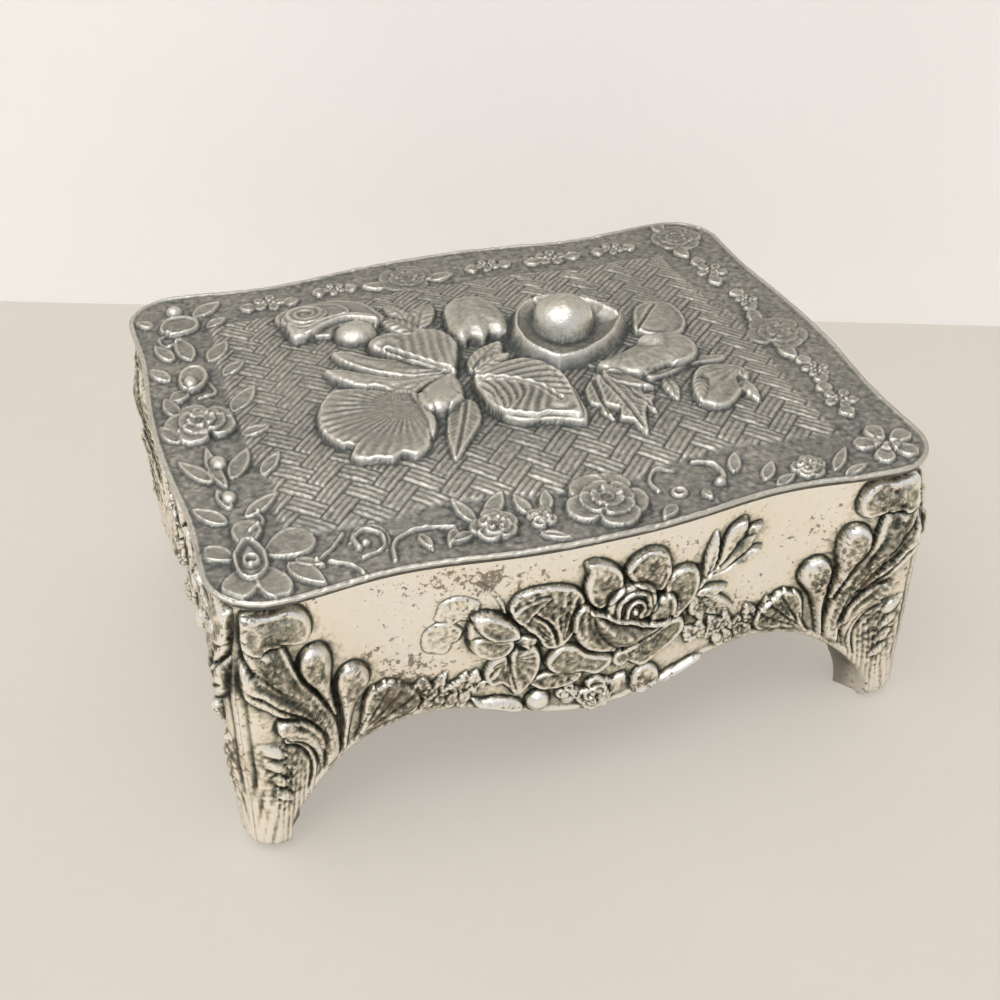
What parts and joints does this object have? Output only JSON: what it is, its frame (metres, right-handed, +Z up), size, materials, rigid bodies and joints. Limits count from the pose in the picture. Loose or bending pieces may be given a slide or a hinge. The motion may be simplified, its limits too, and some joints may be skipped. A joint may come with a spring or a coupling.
{
  "type": "trinket box",
  "caption": "Footed oblong trinket box of cast metal with a hinged lid, rose relief all over and a velvet lining.",
  "frame": {"origin": "on the table, under the middle of the box", "axes": "+X along the length, -Y out of the front, +Z up; the hinge is on the +Y side"},
  "size_m": [0.102, 0.0822, 0.0507],
  "materials": {
    "cast_silver": "cast white metal with worn silver plate, dark in the recesses",
    "lid_pewter": "cast white metal, darkened and polished on the high places",
    "base_sheet": "plain rolled sheet",
    "pin_steel": "drawn wire",
    "velvet": "short pile velvet",
    "card": "plain board"
  },
  "bodies": {
    "box_body": {"front_wall": "cast_silver", "rear_wall": "cast_silver", "left_wall": "cast_silver", "right_wall": "cast_silver", "front_lining": "velvet", "rear_lining": "velvet", "left_lining": "velvet", "right_lining": "velvet", "base_plate": "base_sheet", "floor_card": "card", "floor_pad": "velvet", "body_knuckle_left": "cast_silver", "body_knuckle_middle": "cast_silver", "body_knuckle_right": "cast_silver", "hinge_pin": "pin_steel"},
    "lid_body": {"lid": "lid_pewter", "lid_knuckle_left": "lid_pewter", "lid_knuckle_right": "lid_pewter"}
  },
  "joints": [
    {"name": "lid_hinge", "type": "hinge", "parent": "box_body", "child": "lid_body", "pos_m": [0, 0.04005, 0.04025], "axis": [-1, 0, 0], "range_deg": [0, 100]}
  ]
}
